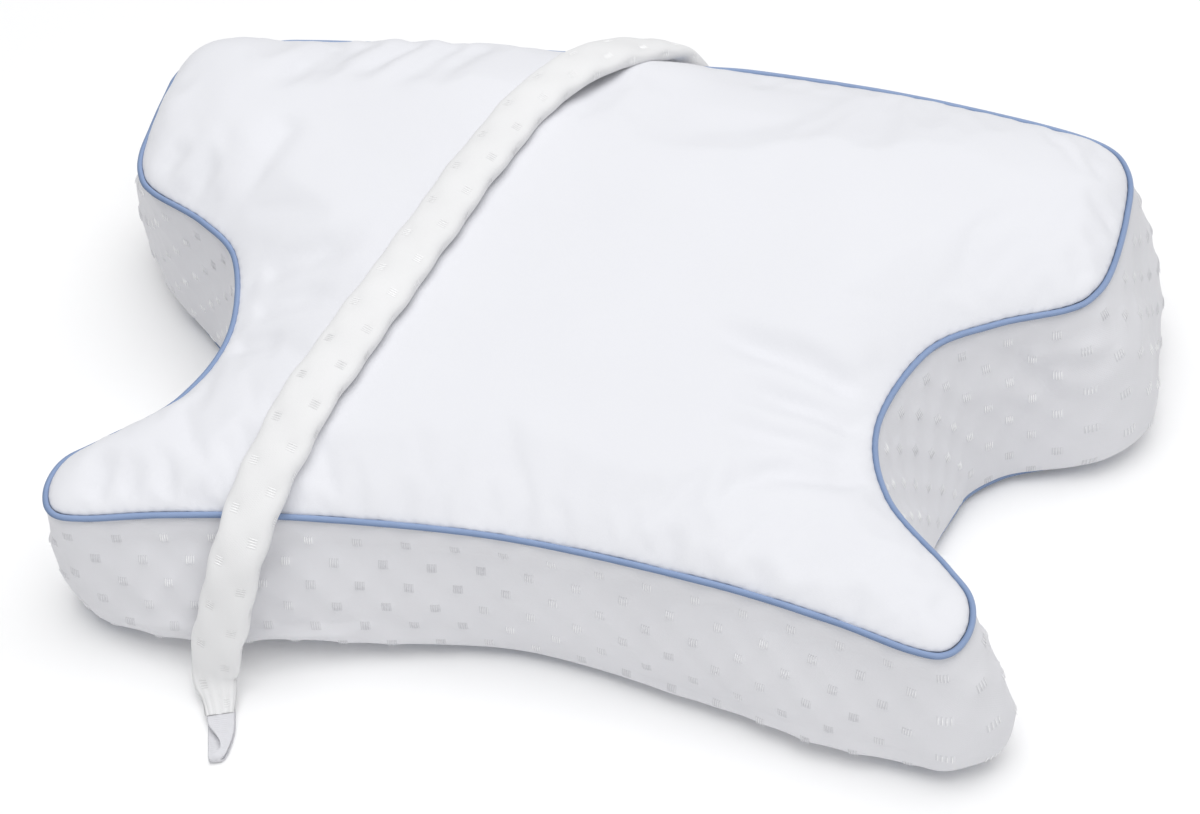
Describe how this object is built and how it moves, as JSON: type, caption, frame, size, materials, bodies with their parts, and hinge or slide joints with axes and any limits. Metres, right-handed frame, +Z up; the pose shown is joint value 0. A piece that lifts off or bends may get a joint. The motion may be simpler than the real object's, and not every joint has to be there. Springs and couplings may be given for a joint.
{
  "type": "cpap pillow with a hose tether",
  "caption": "Butterfly-shaped bed pillow with side cut-outs for a breathing mask, a knit gusset, corded seams and a soft tether lying across its top.",
  "frame": {"origin": "middle of the flat underside, at the surface it rests on, with the front edge facing -Y", "axes": "+X to the right along the length, +Y from the low front edge to the high back lobe, +Z up"},
  "size_m": [0.5506, 0.4231, 0.1443],
  "materials": {
    "knit_white": "white jacquard knit with small raised squares",
    "microfibre_white": "smooth white microfibre",
    "piping_blue": "mid-blue twill over a cord",
    "tether_knit": "padded white jacquard knit",
    "ribbon_grey": "thin pale satin ribbon"
  },
  "bodies": {
    "root": {"pillow_body": "knit_white", "top_panel": "microfibre_white", "bottom_panel": "knit_white", "top_piping": "piping_blue", "bottom_piping": "piping_blue", "tether": "tether_knit", "tether_tab": "ribbon_grey"}
  },
  "joints": []
}
